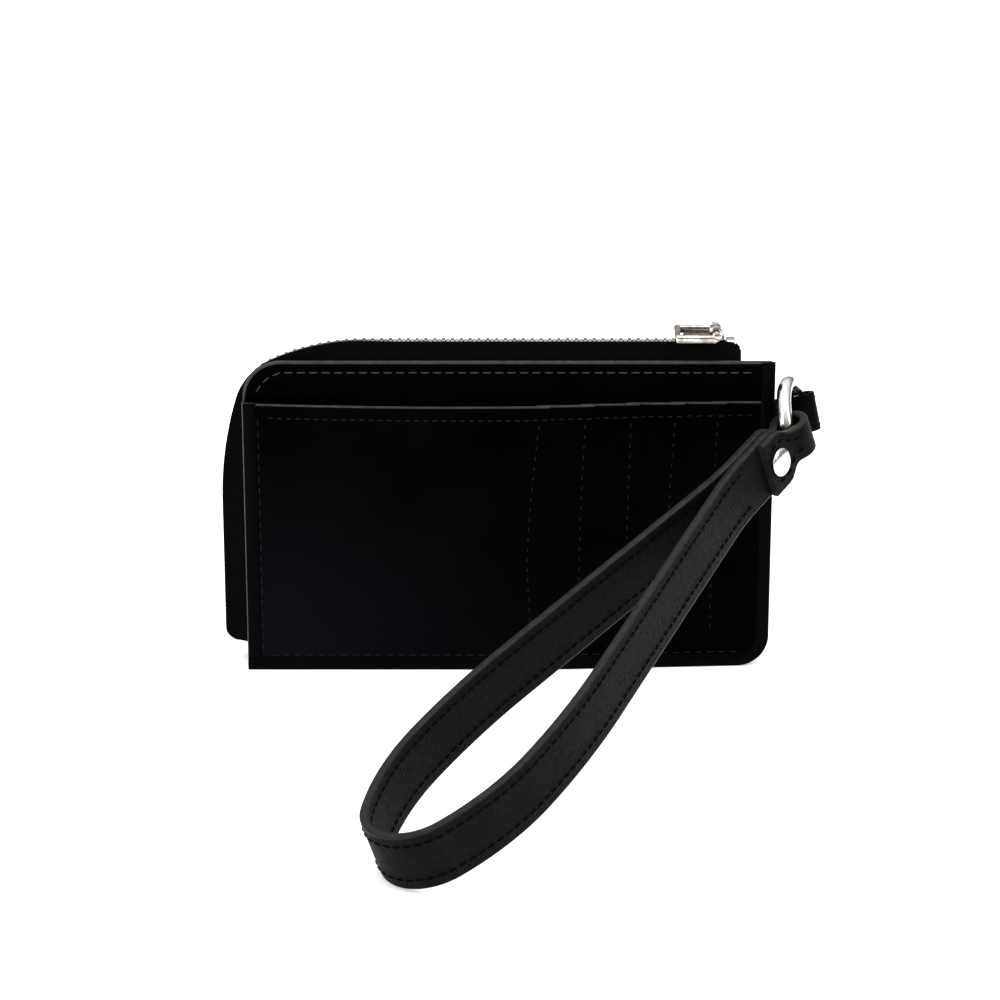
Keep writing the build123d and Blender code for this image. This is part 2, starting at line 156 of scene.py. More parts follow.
def smoothLeather(name, colour, gloss, creases=1.0, paintedReflection=0.0):
    settings = {
        "poreScale": 2600,
        "creaseScale": 260,
        "cloudScale": 45,
        "height": 0.06 * mm,
    }
    skin = Finish(name, Specular_IOR_Level=gloss["specular"])
    where = skin.place()
    pores = skin.cells(where, settings["poreScale"], "SMOOTH_F1")
    fine = skin.noise(where, settings["poreScale"] * 0.6, 4, 0.6)
    stretched = skin.place((1.0, 1.0, 0.35), (0, radians(18), 0))
    folds = skin.noise(stretched, settings["creaseScale"], 5, 0.55, 1.2)
    foldLines = skin.remap(folds, 0.47, 0.53, 0.0, 1.0)
    clouds = skin.noise(where, settings["cloudScale"], 2, 0.5)
    lighter = tuple(channel * 1.9 + 0.0004 for channel in colour) + (1,)
    tone = skin.remap(clouds, 0.35, 0.7, 0.0, 1.0)
    base = skin.blend(tone, colour + (1,), lighter)
    if paintedReflection:
        # painted reflection: the low left part is blended towards a bluish colour that stands in for a
        # reflection on the leather
        split = {0: skin.node("ShaderNodeTexCoord", out="Object")}
        left = skin.remap(skin.node("ShaderNodeSeparateXYZ", {}, split, "X"), -0.055, 0.02, 1.0, 0.0)
        low = skin.remap(skin.node("ShaderNodeSeparateXYZ", {}, split, "Z"), 0.005, 0.06, 1.0, 0.0)
        base = skin.blend(left * low * paintedReflection, base, (0.0034, 0.0037, 0.0052, 1))
    skin.feed("Base Color", base)
    rough = skin.remap(fine, 0.3, 0.7, gloss["rough"] - 0.05, gloss["rough"] + 0.07)
    skin.feed("Roughness", rough + tone * 0.06)
    height = pores * 0.35 + fine * 0.5 + foldLines * (0.22 * creases) + clouds * 0.8
    skin.bump(height, 0.35, settings["height"])
    return skin.material


def pebbledLeather():
    settings = {
        "pebbleScale": 1500,
        "colour": (0.0026, 0.0027, 0.0030),
        # the valley colour is painted shade for the hollows between the pebbles
        "valley": (0.0002, 0.0002, 0.0003),
        "worn": (0.0058, 0.0061, 0.0063),
        "height": 0.3 * mm,
    }
    skin = Finish("pebbledLeather", Specular_IOR_Level=0.04)
    where = skin.place()
    wobble = skin.noise(where, 900, 3, 0.5)
    pebbles = skin.cells(where, settings["pebbleScale"], "SMOOTH_F1")
    edges = skin.cells(where, settings["pebbleScale"], "DISTANCE_TO_EDGE")
    fine = skin.noise(where, 5200, 3, 0.6)
    wear = skin.noise(where, 70, 3, 0.55)
    valley = skin.remap(edges, 0.0, 0.12, 0.0, 1.0)
    body = skin.blend(skin.remap(wear, 0.4, 0.72, 0, 1), settings["colour"] + (1,), settings["worn"] + (1,))
    # painted shade: the valleys between the pebbles are darkened in colour
    skin.feed("Base Color", skin.blend(valley, settings["valley"] + (1,), body))
    skin.feed("Roughness", skin.remap(wobble, 0.3, 0.7, 0.42, 0.58))
    height = valley * 0.6 - pebbles * 0.5 + fine * 0.15 + wobble * 0.4
    skin.bump(height, 0.6, settings["height"])
    return skin.material


def edgePaint(name, colour, thin, gloss):
    settings = {"colour": colour, "thin": thin, "height": 0.05 * mm}
    paint = Finish(name, Specular_IOR_Level=gloss)
    where = paint.place()
    drag = paint.noise(where, 420, 4, 0.55)
    fine = paint.noise(where, 3000, 3, 0.6)
    tone = paint.remap(drag, 0.35, 0.65, 0.0, 1.0)
    paint.feed("Base Color", paint.blend(tone, settings["thin"] + (1,), settings["colour"] + (1,)))
    paint.feed("Roughness", paint.remap(fine, 0.3, 0.7, 0.3, 0.46))
    paint.bump(drag * 0.7 + fine * 0.3, 0.5, settings["height"])
    return paint.material


def sewingThread(name, colour, lit, gloss):
    settings = {"colour": colour, "lit": lit, "twists": 2600}
    thread = Finish(name, Specular_IOR_Level=gloss)
    where = thread.place((1, 0.7, 1), (radians(30), radians(40), radians(20)))
    values = {"Vector": where, "Scale": settings["twists"], "Distortion": 0.6, "Detail": 1.0}
    ply = thread.node("ShaderNodeTexWave", {"wave_type": "BANDS"}, values, out="Fac")
    thread.feed("Base Color", thread.blend(ply, settings["colour"] + (1,), settings["lit"] + (1,)))
    thread.feed("Roughness", thread.remap(ply, 0, 1, 0.6, 0.42))
    thread.bump(ply, 0.5, 0.05 * mm)
    return thread.material


def herringboneTape():
    # the weave coordinate runs along the tape in u and across it in v, both in millimetres
    settings = {
        "columnWidth": 1.9,
        "ribPitch": 1.05,
        "yarn": (0.0005, 0.0005, 0.0006),
        "yarnLit": (0.0036, 0.0036, 0.0040),
        # the gap colour is painted shade for the hollows between the ribs
        "gap": (0.0001, 0.0001, 0.0001),
    }
    tape = Finish("herringboneTape", Specular_IOR_Level=0.02)
    uv = tape.uv()
    along = tape.node("ShaderNodeSeparateXYZ", {}, {0: uv}, out="X")
    across = tape.node("ShaderNodeSeparateXYZ", {}, {0: uv}, out="Y")
    column = tape.node("ShaderNodeMath", {"operation": "PINGPONG"}, {0: across, 1: settings["columnWidth"]})
    phase = (along + column) / settings["ribPitch"]
    saw = tape.node("ShaderNodeMath", {"operation": "FRACT"}, {0: phase})
    rib = tape.node("ShaderNodeMath", {"operation": "PINGPONG"}, {0: saw, 1: 0.5}) * 2.0
    strand = tape.noise(tape.place(), 3800, 3, 0.6)
    rounded = tape.remap(rib, 0.08, 0.75, 0.0, 1.0)
    lit = tape.blend(strand, settings["yarn"] + (1,), settings["yarnLit"] + (1,))
    # painted shade: each rib darkens into the gap colour towards the hollows between ribs
    tape.feed("Base Color", tape.blend(rounded, settings["gap"] + (1,), lit))
    tape.feed("Roughness", tape.remap(strand, 0.3, 0.7, 0.62, 0.8))
    tape.bump(rounded * 0.85 + strand * 0.25, 0.9, 0.16 * mm)
    return tape.material


def nickelPlate(name, colour, dull, patches=240):
    settings = {"colour": colour, "dull": dull, "rough": 0.13}
    metal = Finish(name, Metallic=1.0)
    where = metal.place()
    smears = metal.noise(where, patches, 4, 0.6)
    scratches = metal.noise(metal.place((1, 9, 1), (0.3, 0.5, 0.9)), 1300, 3, 0.6)
    tone = metal.remap(smears, 0.35, 0.75, 0.0, 1.0)
    metal.feed("Base Color", metal.blend(tone, settings["colour"] + (1,), settings["dull"] + (1,)))
    rough = metal.remap(scratches, 0.4, 0.7, settings["rough"], settings["rough"] + 0.09)
    metal.feed("Roughness", rough + tone * 0.05)
    metal.bump(scratches * 0.4 + smears * 0.6, 0.12, 0.04 * mm)
    return metal.material


def wovenLining():
    cloth = Finish("wovenLining", Specular_IOR_Level=0.25, Sheen_Weight=0.15)
    where = cloth.place()
    values = {"Vector": where, "Scale": 900, "Distortion": 0.4}
    warp = cloth.node("ShaderNodeTexWave", {"bands_direction": "X"}, values, out="Fac")
    weft = cloth.node("ShaderNodeTexWave", {"bands_direction": "Z"}, values, out="Fac")
    weave = warp * weft
    cloth.feed("Base Color", cloth.blend(weave, (0.008, 0.008, 0.009, 1), (0.028, 0.028, 0.031, 1)))
    cloth.feed("Roughness", cloth.remap(weave, 0, 1, 0.85, 0.65))
    cloth.bump(weave, 0.5, 0.08 * mm)
    return cloth.material


def greyBoard():
    board = Finish("greyBoard", Specular_IOR_Level=0.2)
    fibres = board.noise(board.place((1, 1, 3)), 1200, 5, 0.65)
    board.feed("Base Color", board.blend(fibres, (0.13, 0.11, 0.09, 1), (0.24, 0.21, 0.17, 1)))
    board.feed("Roughness", board.remap(fibres, 0.3, 0.7, 0.8, 0.95))
    board.bump(fibres, 0.4, 0.08 * mm)
    return board.material


def paleFloor():
    floor = Finish("paleFloor", Specular_IOR_Level=0.0, Roughness=0.9, Emission_Strength=0.3)
    floor.shader.inputs["Emission Color"].default_value = (1, 1, 1, 1)
    speckle = floor.noise(floor.place(), 12, 2, 0.5)
    floor.feed("Base Color", floor.blend(speckle, (0.93, 0.93, 0.93, 1), (0.95, 0.95, 0.95, 1)))
    return floor.material


panelLeather = smoothLeather("panelLeather", (0.0002, 0.0002, 0.0003), {"specular": 0.006, "rough": 0.36})
# the pocket plies get a painted bluish reflection on their low left part
pocketLeather = smoothLeather(
    "pocketLeather", (0.0002, 0.0002, 0.0003), {"specular": 0.006, "rough": 0.34}, 1.6, 0.8
)
bandLeather = smoothLeather("bandLeather", (0.0004, 0.0004, 0.0005), {"specular": 0.016, "rough": 0.34}, 0.7)
tabLeather = smoothLeather("tabLeather", (0.0008, 0.0009, 0.0011), {"specular": 0.014, "rough": 0.4}, 0.7)
strapLeather = pebbledLeather()
paint = edgePaint("edgePaint", (0.032, 0.032, 0.033), (0.017, 0.017, 0.018), 0.2)
strapPaint = edgePaint("strapEdgePaint", (0.0145, 0.0152, 0.0148), (0.0072, 0.0076, 0.0076), 0.1)
brightThread = sewingThread("brightThread", (0.008, 0.0088, 0.0105), (0.028, 0.030, 0.036), 0.3)
darkThread = sewingThread("darkThread", (0.0014, 0.0015, 0.0018), (0.0062, 0.0066, 0.0078), 0.08)
blackThread = sewingThread("blackThread", (0.0004, 0.0004, 0.0005), (0.0015, 0.0015, 0.0018), 0.02)
tapeCloth = herringboneTape()
nickel = nickelPlate("nickelPlate", (0.80, 0.775, 0.735), (0.62, 0.595, 0.56))
toothNickel = nickelPlate("toothNickel", (0.40, 0.36, 0.31), (0.16, 0.13, 0.10))
pullNickel = nickelPlate("pullNickel", (0.70, 0.67, 0.62), (0.20, 0.155, 0.125), 520)
shadedNickel = nickelPlate("shadedNickel", (0.30, 0.25, 0.21), (0.035, 0.022, 0.016), 700)
lining = wovenLining()
board = greyBoard()
print("finishes made")


# mesh helpers

def addPiece(name, points, faces, materials, body, replaced=(), marks=None, uvs=None, sharp=50):
    # points in metres; marks gives each face's material; uvs gives each point's weave place
    mesh = bpy.data.meshes.new(name)
    mesh.from_pydata([tuple(point) for point in points], [], faces)
    for material in materials:
        mesh.materials.append(material)
    if marks:
        mesh.polygons.foreach_set("material_index", marks)
    if uvs:
        layer = mesh.uv_layers.new(name="weave")
        for loop in mesh.loops:
            layer.data[loop.index].uv = uvs[loop.vertex_index]
    mesh.polygons.foreach_set("use_smooth", [True] * len(mesh.polygons))
    mesh.validate()
    work = bmesh.new()
    work.from_mesh(mesh)
    bmesh.ops.recalc_face_normals(work, faces=work.faces)
    work.to_mesh(mesh)
    work.free()
    mesh.set_sharp_from_angle(angle=radians(sharp))
    piece = bpy.data.objects.new(name, mesh)
    bpy.context.scene.collection.objects.link(piece)
    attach(piece, body)
    if replaced:
        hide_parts(*replaced)
    return piece


def arc(centre, radius, start, end, steps):
    turns = [radians(start + (end - start) * index / steps) for index in range(steps + 1)]
    return [(centre[0] + radius * cos(turn), centre[1] + radius * sin(turn)) for turn in turns]


def insetLoop(points, inset):
    # moves a closed counterclockwise outline inward, point by point
    count = len(points)
    moved = []
    for index, point in enumerate(points):
        before = Vector(points[index - 1])
        after = Vector(points[(index + 1) % count])
        here = Vector(point)
        first = (here - before).normalized()
        second = (after - here).normalized()
        normal = Vector((-first.y - second.y, first.x + second.x))
        normal.normalize()
        spread = max(normal.dot(Vector((-first.y, first.x))), 0.5)
        moved.append(here + normal * (inset / spread))
    return moved


def tubeFaces(rings, count, base=0):
    # quads between open rings of points, then the two end caps
    faces = []
    for ring in range(rings - 1):
        low = base + ring * count
        for index in range(count):
            after = (index + 1) % count
            faces.append([low + index, low + after, low + count + after, low + count + index])
    faces.append([base + index for index in reversed(range(count))])
    last = base + (rings - 1) * count
    faces.append([last + index for index in range(count)])
    return faces


def loopFaces(rings, count):
    # quads between closed rings that also close on themselves
    faces = []
    for ring in range(rings):
        low = ring * count
        high = ((ring + 1) % rings) * count
        for index in range(count):
            after = (index + 1) % count
            faces.append([low + index, low + after, high + after, high + index])
    return faces


def leatherSheet(name, outline, near, far, soft, materials, replaced, painted):
    # a flat layer with rounded edges; near and far are depths in millimetres
    steps = 3
    flat = soft + 0.9  # where the face starts, inside the rounded edge
    profile = [(flat, near), (soft + 0.25, near)]
    for index in range(steps + 1):
        turn = pi / 2 * index / steps
        profile.append((soft * (1 - sin(turn)), near + soft * (1 - cos(turn))))
    for index in range(steps + 1):
        turn = pi / 2 * index / steps
        profile.append((soft * (1 - cos(turn)), far - soft * (1 - sin(turn))))
    profile.append((flat, far))
    points = []
    for inset, depth in profile:
        points += [Vector((x, depth, z)) * mm for x, z in insetLoop(outline, inset)]
    marks = []
    for ring in range(len(profile) - 1):
        for here, after in zip(outline, outline[1:] + outline[:1]):
            middle = (Vector(here) + Vector(after)) / 2
            edge = 1 <= ring <= len(profile) - 3 and painted(middle.x, middle.y)
            marks.append(1 if edge else 0)
    marks += [0, 0]
    faces = tubeFaces(len(profile), len(outline))
    return addPiece(name, points, faces, materials, "wallet", replaced, marks)


def stitchRow(name, places, size, body, material):
    # places are (middle, direction along, direction out of the leather), in millimetres
    rings = [(-0.5, 0.35, -0.3), (-0.42, 0.8, -0.05), (-0.22, 1.0, 0.32), (0, 1.0, 0.4)]
    rings += [(-where, wide, out) for where, wide, out in reversed(rings[:-1])]
    sides = 8
    points = []
    faces = []
    for middle, along, out in places:
        along = along.normalized()
        across = along.cross(out).normalized()
        base = len(points)
        for where, wide, height in rings:
            centre = middle + along * (where * size["length"]) + out * (height * size["radius"])
            for side in range(sides):
                turn = 2 * pi * side / sides
                reach = across * cos(turn) * 1.15 + out * sin(turn) * 0.9
                points.append((centre + reach * size["radius"] * wide) * mm)
        faces += tubeFaces(len(rings), sides, base)
    return addPiece(name, points, faces, [material], body, (), sharp=180)


def evenly(path, pitch):
    # (place, direction) at an even pitch along a list of vectors
    lengths = [0.0]
    for first, second in zip(path, path[1:]):
        lengths.append(lengths[-1] + (second - first).length)
    count = max(int(lengths[-1] / pitch), 1)
    step = lengths[-1] / count
    found = []
    for index in range(count):
        target = (index + 0.5) * step
        spot = next(i for i in range(1, len(lengths)) if lengths[i] >= target)
        share = (target - lengths[spot - 1]) / max(lengths[spot] - lengths[spot - 1], 1e-9)
        direction = path[spot] - path[spot - 1]
        found.append((path[spot - 1] + direction * share, direction.normalized()))
    return found


def roundedBlock(low, high, radius, steps=3):
    # corner points and faces of a box with rounded edges, in millimetres
    work = bmesh.new()
    bmesh.ops.create_cube(work, size=1.0)
    size = Vector(high) - Vector(low)
    middle = (Vector(high) + Vector(low)) / 2
    for vertex in work.verts:
        vertex.co = Vector(a * b for a, b in zip(vertex.co, size)) + middle
    bmesh.ops.bevel(
        work, geom=work.edges[:] + work.verts[:], offset=radius, segments=steps, profile=0.5,
        affect="EDGES",
    )
    work.verts.index_update()
    points = [vertex.co.copy() for vertex in work.verts]
    faces = [[vertex.index for vertex in face.verts] for face in work.faces]
    work.free()
    return points, faces


def joined(shapes):
    points = []
    faces = []
    for shapePoints, shapeFaces in shapes:
        base = len(points)
        points += shapePoints
        faces += [[base + index for index in face] for face in shapeFaces]
    return points, faces


def lathe(origin, axis, profile, sides=48):
    # turns (radius, height) points about an axis
    first = axis.orthogonal().normalized()
    second = axis.cross(first)
    points = []
    for radius, height in profile:
        for step in range(sides):
            turn = 2 * pi * step / sides
            points.append(origin + axis * height + (first * cos(turn) + second * sin(turn)) * radius)
    return points, tubeFaces(len(profile), sides)


def metalPiece(name, shapes, material, body, replaced, sharp=40):
    # shapes are lists of points in millimetres with their faces
    points, faces = joined(shapes)
    metres = [point * mm for point in points]
    return addPiece(name, metres, faces, [material], body, [replaced], sharp=sharp)


# wallet body

walletSize = {
    "halfWidth": 66.0,
    "height": 80.8,
    "topLeft": 9.5,
    "bottomRight": 8.0,
    "small": 1.5,
    "backTopLeft": 16.0,
    "backTopRight": 22.0,
    "frontFace": -5.0,
    "panelThickness": 1.2,
    "backFace": 5.0,
}


def walletOutline(inset=0.0, topLeft=None, topRight=None, steps=14):
    half = walletSize["halfWidth"] - inset
    low = inset
    high = walletSize["height"] - inset
    corners = [
        (-half, low, walletSize["small"], 180, 1, 1),
        (half, low, walletSize["bottomRight"], 270, -1, 1),
        (half, high, topRight or walletSize["small"], 0, -1, -1),
        (-half, high, topLeft or walletSize["topLeft"], 90, 1, -1),
    ]
    points = []
    for x, z, radius, start, inX, inZ in corners:
        radius = max(radius - inset, 0.4)
        count = steps if radius > 3 else 6
        points += arc((x + inX * radius, z + inZ * radius), radius, start, start + 90, count)
    return points


def subdivided(points, longest):
    # extra points on the long straight stretches
    dense = []
    for index, point in enumerate(points):
        after = Vector(points[(index + 1) % len(points)])
        here = Vector(point)
        parts = max(int((after - here).length / longest), 1)
        dense += [tuple(here.lerp(after, part / parts)) for part in range(parts)]
    return dense


def makePanels():
    look = {
        "softEdge": 0.38,
        "stitchInset": 2.9,
        "stitchPitch": 3.0,
        "stitchLength": 2.2,
        "threadRadius": 0.16,
        "seamTop": 62.0,
        "seamCorner": 5.6,
    }
    near = walletSize["frontFace"]
    far = near + walletSize["panelThickness"]
    front = walletOutline()
    openEdge = lambda x, z: x < 62 and (z > walletSize["height"] - 12 or x < -65 and z > 12)
    materials = [panelLeather, paint]
    leatherSheet("frontPanelSkin", front, near, far, look["softEdge"], materials, ["front_panel"], openEdge)
    back = walletOutline(0, walletSize["backTopLeft"], walletSize["backTopRight"])
    behind = walletSize["backFace"]
    inner = behind - walletSize["panelThickness"]
    leatherSheet("backPanelSkin", back, inner, behind, look["softEdge"], materials, ["back_panel"], openEdge)
    # the sewing that holds the zip, round the open edges of both panels
    inset = look["stitchInset"]
    size = {"length": look["stitchLength"], "radius": look["threadRadius"]}
    half = walletSize["halfWidth"] - inset
    high = walletSize["height"] - inset
    rows = {
        "front": {"depth": near, "corner": walletSize["topLeft"] + 1.5, "lowEnd": 72.5, "rightGap": 2.5},
        "back": {"depth": behind, "corner": walletSize["backTopLeft"], "lowEnd": 10.0, "rightGap": 20.0},
    }
    for side, row in rows.items():
        depth, lowEnd = row["depth"], row["lowEnd"]
        radius = row["corner"] - inset
        corner = arc((-half + radius, high - radius), radius, 180, 90, 10)
        route = [(-half, lowEnd)] + corner + [(half - row["rightGap"], high)]
        path = [Vector((x, depth, z)) for x, z in route if z >= lowEnd]
        out = Vector((0, -1 if side == "front" else 1, 0))
        places = [(place, along, out) for place, along in evenly(path, look["stitchPitch"])]
        stitchRow(f"{side}PanelStitches", places, size, "wallet", brightThread)
    # seams down the sewn sides of the back
    bend = look["seamCorner"]
    route = [(half, look["seamTop"]), (half, inset + bend)]
    route += arc((half - bend, inset + bend), bend, 0, -90, 8) + [(-half, inset)]
    path = [Vector((x, behind, z)) for x, z in route]
    places = [(place, along, Vector((0, 1, 0))) for place, along in evenly(path, look["stitchPitch"])]
    stitchRow("backSeamStitches", places, size, "wallet", darkThread)


def pocketTopAt(x):
    # the sewn top edge of the pockets hangs a little lower in the middle
    share = (x + walletSize["halfWidth"]) / (2 * walletSize["halfWidth"])
    sag = 0.7 * sin(pi * min(max(share * 1.35, 0.0), 1.0))
    return 71.0 - sag - 0.45 * min(max(share, 0.0), 1.0)


def makePockets():
    look = {
        "thickness": 0.5,
        "pitch": 0.6,
        "overlap": 3.9,
        "slipDrop": 1.6,
        "softEdge": 0.2,
        "stitchBelowTop": 3.6,
        "topStitchPitch": 2.25,
        "sideStitchPitch": 2.7,
        "sideStitchInset": 2.4,
        "topStitchLength": 1.35,
        "sideStitchLength": 1.0,
        "threadRadius": 0.17,
        "backingCorner": 7.3,
        "longest": 6.0,
    }
    # each open right edge at the top, in the middle and at the bottom; the last is the backing
    edges = [(10.7, 7.1, 8.9), (21.7, 20.2, 20.4), (33.0, 32.0, 32.2), (44.1, 42.2, 42.0)]
    edges += [(54.5, 53.4, 53.5), (65.2, 65.2, 65.2)]
    bottom = 0.7
    right = 65.3
    left = -right
    near = -5.55
    count = len(edges) - 1
    previous = None
    for number, (top, middle, low) in enumerate(edges, start=1):
        face = near - look["pitch"] * (count + 1 - number)
        start = left if previous is None else previous - look["overlap"]
        outline = [(left, bottom)]
        if number > count:
            radius = look["backingCorner"]
            outline += arc((right - radius, bottom + radius), radius, 270, 360, 10)
            outline.append((right, pocketTopAt(right)))
        else:
            # the open edge is a shallow bow through three heights
            bowSteps = 16
            for index in range(bowSteps + 1):
                share = index / bowSteps
                blendLow = max(0.0, 1 - share / 0.4)
                blendHigh = max(0.0, (share - 0.4) / 0.6)
                x = middle + (low - middle) * blendLow ** 1.5 + (top - middle) * blendHigh ** 1.6
                outline.append((x, bottom + (pocketTopAt(top) - bottom) * share))
        steps = 14
        for index in range(1, steps + 1):
            x = top + (start - top) * index / steps
            outline.append((x, pocketTopAt(x)))
        if previous is not None:
            drop = look["slipDrop"]
            outline += [(start - 0.3, pocketTopAt(start) - drop), (left, pocketTopAt(left) - drop)]
        name = f"card_pocket_{number}" if number <= count else "pocket_backing"
        paintedTop = lambda x, z, start=start: x > start - 0.2 and z > pocketTopAt(x) - 0.4
        leatherSheet(
            f"pocketPly{number}", subdivided(outline, look["longest"]), face, face + look["thickness"],
            look["softEdge"], [pocketLeather, paint], [name], paintedTop,
        )
        # one row under this ply's own stretch of the top edge
        size = {"length": look["topStitchLength"], "radius": look["threadRadius"]}
        stretch = [start + 0.5 if previous is not None else left + 5.2, top - 0.6]
        path = [
            Vector((x, face, pocketTopAt(x) - look["stitchBelowTop"]))
            for x in spaced(stretch[0], stretch[1], 20)
        ]
        if number > count:
            path = [place for place in path if place.x < 61.5]
        out = Vector((0, -1, 0))
        rows = [(place, along, out) for place, along in evenly(path, look["topStitchPitch"])]
        stitchRow(f"pocketTopStitches{number}", rows, size, "wallet", darkThread)
        if number <= count:
            edge = [point for point in outline[1:bowSteps + 2] if 5.5 < point[1] < 66.5]
            path = [Vector((x - look["sideStitchInset"], face, z)) for x, z in edge]
            size = {"length": look["sideStitchLength"], "radius": look["threadRadius"]}
            rows = [(place, along, out) for place, along in evenly(path, look["sideStitchPitch"])]
            stitchRow(f"pocketSideStitches{number}", rows, size, "wallet", darkThread)
        previous = top


def spaced(first, last, parts):
    return [first + (last - first) * part / parts for part in range(parts + 1)]


def bandDepth(x):
    # the front of the stack of plies, which thins towards the right
    corners = [(-67, -8.65), (10.9, -8.65), (54.6, -6.25), (67, -5.65)]
    for (x1, y1), (x2, y2) in zip(corners, corners[1:]):
        if x <= x2:
            return y1 + (y2 - y1) * (x - x1) / (x2 - x1)
    return corners[-1][1]


def makeBands():
    look = {
        "width": 3.4,
        "thickness": 0.5,
        "crown": 0.16,
        "rim": 0.45,
        "wall": 0.6,
        "back": -5.05,
        "rightDepth": -5.65,
        "leftFrom": 3.5,
        "rightFrom": 9.6,
        "stitchPitch": 2.9,
        "stitchLength": 1.9,
        "threadRadius": 0.17,
    }

    def bandProfile(depth, back):
        # inward distance and depth, from the back of the rim round to the inner lip
        front = depth - look["thickness"]
        rim = look["rim"]
        points = [(look["wall"], back), (0.0, back), (0.0, front + rim)]
        points += [(rim * (1 - cos(turn)), front + rim * (1 - sin(turn))) for turn in (0.4, 0.8, 1.2)]
        width = look["width"]
        points += [(rim, front), (width * 0.35, front - look["crown"]), (width * 0.65, front - look["crown"])]
        points += [(width - 0.35, front), (width - 0.08, front + 0.2), (width, depth - 0.04)]
        points += [(look["wall"], depth - 0.02)]
        return points

    def band(name, route, replaced, depthAt, paintedRim=False):
        points = []
        for (x, z), (inX, inZ) in route:
            for inset, depth in bandProfile(depthAt(x), look["back"]):
                points.append(Vector((x + inX * inset, depth, z + inZ * inset)) * mm)
        count = len(points) // len(route)
        faces = tubeFaces(len(route), count)
        marks = [1 if paintedRim and 2 <= index <= 4 else 0 for index in range(count)] * (len(route) - 1)
        marks += [0, 1 if paintedRim else 0]
        addPiece(name, points, faces, [bandLeather, paint], "wallet", replaced, marks)

    half = walletSize["halfWidth"]
    left = [((-half, z), (1, 0)) for z in spaced(look["leftFrom"], pocketTopAt(-half) + 0.3, 12)]
    band("leftBand", left, ["binding_left"], lambda x: bandDepth(-half), paintedRim=True)
    right = [((half, z), (-1, 0)) for z in spaced(look["rightFrom"], walletSize["height"], 12)]
    band("rightBand", right, ["binding_right"], lambda x: look["rightDepth"])
    radius = walletSize["bottomRight"]
    bottomRoute = [((x, 0.0), (0, 1)) for x in spaced(-half + 0.05, half - radius, 40)]
    for x, z in arc((half - radius, radius), radius, 270, 360, 12)[1:]:
        bottomRoute.append(((x, z), ((half - radius - x) / radius, (radius - z) / radius)))
    bottomRoute.append(((half, 9.5), (-1, 0)))
    band("bottomBand", bottomRoute, ["binding_bottom"], bandDepth)
    # stitches lie in the valley inside each band
    size = {"length": look["stitchLength"], "radius": look["threadRadius"]}
    out = Vector((0, -1, 0))
    inside = look["width"] + 0.45
    rows = {
        "leftBandStitches": [Vector((-half + inside, -8.55, z)) for z in (4.6, 67.5)],
        "rightBandStitches": [Vector((half - inside, -5.55, z)) for z in (9.5, 40, 68.9)],
        "rightUpperStitches": [Vector((half - inside, -5.05, z)) for z in (70.5, 76.5)],
        "bottomBandStitches": [Vector((x, bandDepth(x) + 0.08, inside)) for x in (-60.5, 10.9, 54.6, 58.5)],
    }
    for name, path in rows.items():
        places = [(place, along, out) for place, along in evenly(path, look["stitchPitch"])]
        material = blackThread if name.startswith("right") else darkThread
        stitchRow(name, places, size, "wallet", material)


makePanels()
makePockets()
makeBands()
hidden = {"base_gusset": panelLeather, "side_gusset": panelLeather, "front_lining": lining}
hidden.update({"back_lining": lining, "front_stiffener": board, "back_stiffener": board})
for name, material in hidden.items():
    nodes[name].data.materials.clear()
    nodes[name].data.materials.append(material)
print("wallet body made")


# zip

chain = {
    "left": -70.8,
    "low": 7.6,
    "bendFrom": 43.2,
    "bends": [(16.7, 92.9), (49.0, 15.1), (24.3, 56.5)],
    "end": 57.6,
    "lastTooth": 51.6,
    "pitch": 2.2,
}


def chainAt(distance, low):
    # the place and the outward direction this far along the zip's line
    here = Vector((chain["left"], 0, low))
    straight = chain["bendFrom"] - low
    if distance < straight:
        return here + Vector((0, 0, distance)), Vector((-1, 0, 0))
    here.z = chain["bendFrom"]
    distance -= straight
    turned = 0.0
    for turn, radius in chain["bends"]:
        outward = Vector((-cos(turned), 0, sin(turned)))
        centre = here - outward * radius
        now = turned + min(distance / radius, radians(turn))
        outward = Vector((-cos(now), 0, sin(now)))
        here = centre + outward * radius
        if distance < radians(turn) * radius:
            return here, outward
        distance -= radians(turn) * radius
        turned += radians(turn)
    return here + Vector((distance, 0, 0)), Vector((0, 0, 1))


def chainLength(low, end):
    bends = sum(radians(turn) * radius for turn, radius in chain["bends"])
    start = chain["bendFrom"] - low + bends
    return start + end - chainAt(start + mm, low)[0].x


def chainPlaces(low, end, spacing):
    # (distance, origin, outward direction) along the zip's line
    total = chainLength(low, end)
    count = int(round(total / spacing))
    return [(total * index / count, *chainAt(total * index / count, low)) for index in range(count + 1)]


chainTop = chainAt(chainLength(chain["low"], 0), chain["low"])[0].z


